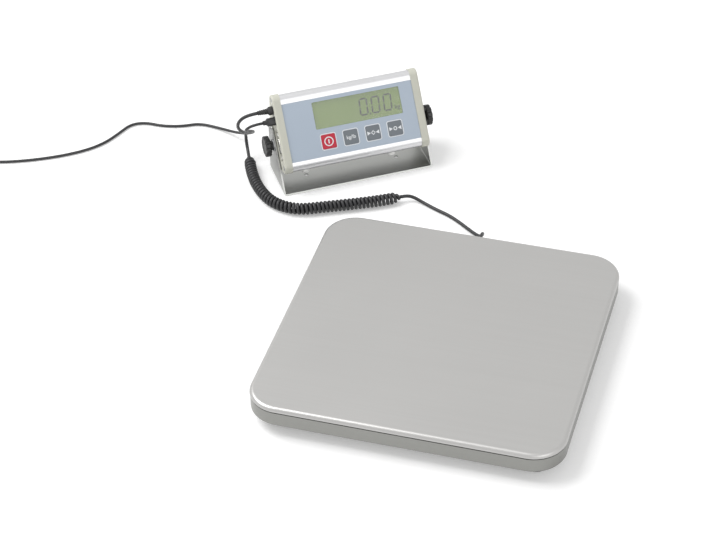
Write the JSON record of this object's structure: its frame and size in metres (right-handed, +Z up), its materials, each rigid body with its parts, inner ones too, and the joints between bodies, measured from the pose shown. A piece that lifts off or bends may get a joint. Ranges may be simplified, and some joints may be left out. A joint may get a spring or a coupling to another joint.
{
  "type": "weighing scale",
  "caption": "bench weighing scale: low square stainless platform on corner load cells, joined by a coiled cord to a tilting digital display on a bent steel stand",
  "frame": {"origin": "bottom centre of the box round the platform, stand and display, cords left out, on the floor", "axes": "+Z up, +X to the platform's right and +Y to its rear, along its sides; the display stands rear left and is turned 33.6 degrees about Z"},
  "size_m": [0.7467, 0.4933, 0.0949],
  "materials": {
    "stainless": "brushed",
    "steel": "zinc plated",
    "cell_steel": "ground",
    "rubber_black": "matt",
    "board_green": "solder mask",
    "terminal_green": "moulded",
    "black_plastic": "moulded",
    "stand_steel": "satin silver paint",
    "cord_black": "satin",
    "pin_brass": "plain",
    "aluminium": "satin anodised",
    "cap_cream": "fine grain",
    "membrane": "printed satin film",
    "window": "clear",
    "lcd": "polarised",
    "light_box": "moulded",
    "bumper_white": "matt",
    "port": "nickel plated",
    "key_red": "soft",
    "key_grey": "soft"
  },
  "bodies": {
    "base": {"base_pan": "stainless", "base_rails": "steel", "load_cell_front_left": "cell_steel", "load_cell_front_right": "cell_steel", "load_cell_rear_left": "cell_steel", "load_cell_rear_right": "cell_steel", "cell_screws": "steel", "load_buttons": "rubber_black", "overload_stops": "steel", "summing_board": "board_green", "terminal_blocks": "terminal_green", "cable_gland": "black_plastic", "foot_nuts": "steel", "stand_bracket": "stand_steel", "coil_tail_display": "cord_black", "coil_cord": "cord_black", "coil_tail_platform": "cord_black", "power_lead": "cord_black", "power_lead_coil": "cord_black", "wall_adapter": "black_plastic", "mains_pins": "pin_brass"},
    "plate": {"load_plate": "stainless", "plate_frame": "steel"},
    "display": {"housing": "aluminium", "end_cap_left": "cap_cream", "end_cap_right": "cap_cream", "cap_screws": "steel", "knob_inserts": "pin_brass", "pivot_pads": "rubber_black", "membrane_panel": "membrane", "lcd_window": "window", "lcd_glass": "lcd", "lcd_backlight": "light_box", "circuit_board": "board_green", "board_parts": "black_plastic", "bumpers": "bumper_white", "coil_socket": "black_plastic", "dc_socket": "black_plastic", "serial_port": "port", "coil_plug": "cord_black", "dc_plug": "black_plastic"},
    "power_key": {"power_key": "key_red"},
    "unit_key": {"unit_key": "key_grey"},
    "hold_key": {"hold_key": "key_grey"},
    "zero_key": {"zero_key": "key_grey"},
    "washer_left": {"knob_washer_left": "steel"},
    "knob_left": {"knob_left": "black_plastic"},
    "washer_right": {"knob_washer_right": "steel"},
    "knob_right": {"knob_right": "black_plastic"},
    "pad_front_left": {"foot_pad_front_left": "rubber_black"},
    "stud_front_left": {"foot_stud_front_left": "steel"},
    "pad_front_right": {"foot_pad_front_right": "rubber_black"},
    "stud_front_right": {"foot_stud_front_right": "steel"},
    "pad_rear_left": {"foot_pad_rear_left": "rubber_black"},
    "stud_rear_left": {"foot_stud_rear_left": "steel"},
    "pad_rear_right": {"foot_pad_rear_right": "rubber_black"},
    "stud_rear_right": {"foot_stud_rear_right": "steel"}
  },
  "joints": [
    {"name": "plate_lift", "type": "slide", "parent": "base", "child": "plate", "axis": [0, 0, 1], "range_m": [0, 0.04]},
    {"name": "display_tilt", "type": "hinge", "parent": "base", "child": "display", "pos_m": [-0.12039, 0.1845, 0.0405], "axis": [0.8329, 0.5534, 0], "range_deg": [-35, 35], "deforming": ["coil_tail_display", "power_lead"]},
    {"name": "power_key_press", "type": "slide", "parent": "display", "child": "power_key", "axis": [-0.4533, 0.6823, -0.5736], "range_m": [0, 0.0004], "stiffness_N_per_m": 1200, "springref_m": -0.0004},
    {"name": "unit_key_press", "type": "slide", "parent": "display", "child": "unit_key", "axis": [-0.4533, 0.6823, -0.5736], "range_m": [0, 0.0004], "stiffness_N_per_m": 1200, "springref_m": -0.0004},
    {"name": "hold_key_press", "type": "slide", "parent": "display", "child": "hold_key", "axis": [-0.4533, 0.6823, -0.5736], "range_m": [0, 0.0004], "stiffness_N_per_m": 1200, "springref_m": -0.0004},
    {"name": "zero_key_press", "type": "slide", "parent": "display", "child": "zero_key", "axis": [-0.4533, 0.6823, -0.5736], "range_m": [0, 0.0004], "stiffness_N_per_m": 1200, "springref_m": -0.0004},
    {"name": "knob_left_travel", "type": "slide", "parent": "display", "child": "washer_left", "axis": [-0.8329, -0.5534, 0], "range_m": [0, 0.002]},
    {"name": "knob_left_turn", "type": "hinge", "parent": "washer_left", "child": "knob_left", "pos_m": [-0.19202, 0.13691, 0.0405], "axis": [-0.8329, -0.5534, 0], "range_deg": [0, 720]},
    {"name": "knob_right_travel", "type": "slide", "parent": "display", "child": "washer_right", "axis": [0.8329, 0.5534, 0], "range_m": [0, 0.002]},
    {"name": "knob_right_turn", "type": "hinge", "parent": "washer_right", "child": "knob_right", "pos_m": [-0.04876, 0.23209, 0.0405], "axis": [0.8329, 0.5534, 0], "range_deg": [0, 720]},
    {"name": "foot_front_left_height", "type": "slide", "parent": "base", "child": "pad_front_left", "axis": [0, 0, 1], "range_m": [-0.006, 0]},
    {"name": "foot_front_left_turn", "type": "hinge", "parent": "pad_front_left", "child": "stud_front_left", "pos_m": [-0.06926, -0.21865, 0.008], "axis": [0, 0, 1], "range_deg": [-1728, 0]},
    {"name": "foot_front_right_height", "type": "slide", "parent": "base", "child": "pad_front_right", "axis": [0, 0, 1], "range_m": [-0.006, 0]},
    {"name": "foot_front_right_turn", "type": "hinge", "parent": "pad_front_right", "child": "stud_front_right", "pos_m": [0.17474, -0.21865, 0.008], "axis": [0, 0, 1], "range_deg": [-1728, 0]},
    {"name": "foot_rear_left_height", "type": "slide", "parent": "base", "child": "pad_rear_left", "axis": [0, 0, 1], "range_m": [-0.006, 0]},
    {"name": "foot_rear_left_turn", "type": "hinge", "parent": "pad_rear_left", "child": "stud_rear_left", "pos_m": [-0.06926, 0.02535, 0.008], "axis": [0, 0, 1], "range_deg": [-1728, 0]},
    {"name": "foot_rear_right_height", "type": "slide", "parent": "base", "child": "pad_rear_right", "axis": [0, 0, 1], "range_m": [-0.006, 0]},
    {"name": "foot_rear_right_turn", "type": "hinge", "parent": "pad_rear_right", "child": "stud_rear_right", "pos_m": [0.17474, 0.02535, 0.008], "axis": [0, 0, 1], "range_deg": [-1728, 0]}
  ],
  "couplings": [
    {"joint": "knob_left_turn", "follows": "knob_left_travel", "rad_per_m": 6283.2},
    {"joint": "knob_right_turn", "follows": "knob_right_travel", "rad_per_m": 6283.2},
    {"joint": "foot_front_left_turn", "follows": "foot_front_left_height", "rad_per_m": 5026.5},
    {"joint": "foot_front_right_turn", "follows": "foot_front_right_height", "rad_per_m": 5026.5},
    {"joint": "foot_rear_left_turn", "follows": "foot_rear_left_height", "rad_per_m": 5026.5},
    {"joint": "foot_rear_right_turn", "follows": "foot_rear_right_height", "rad_per_m": 5026.5}
  ]
}
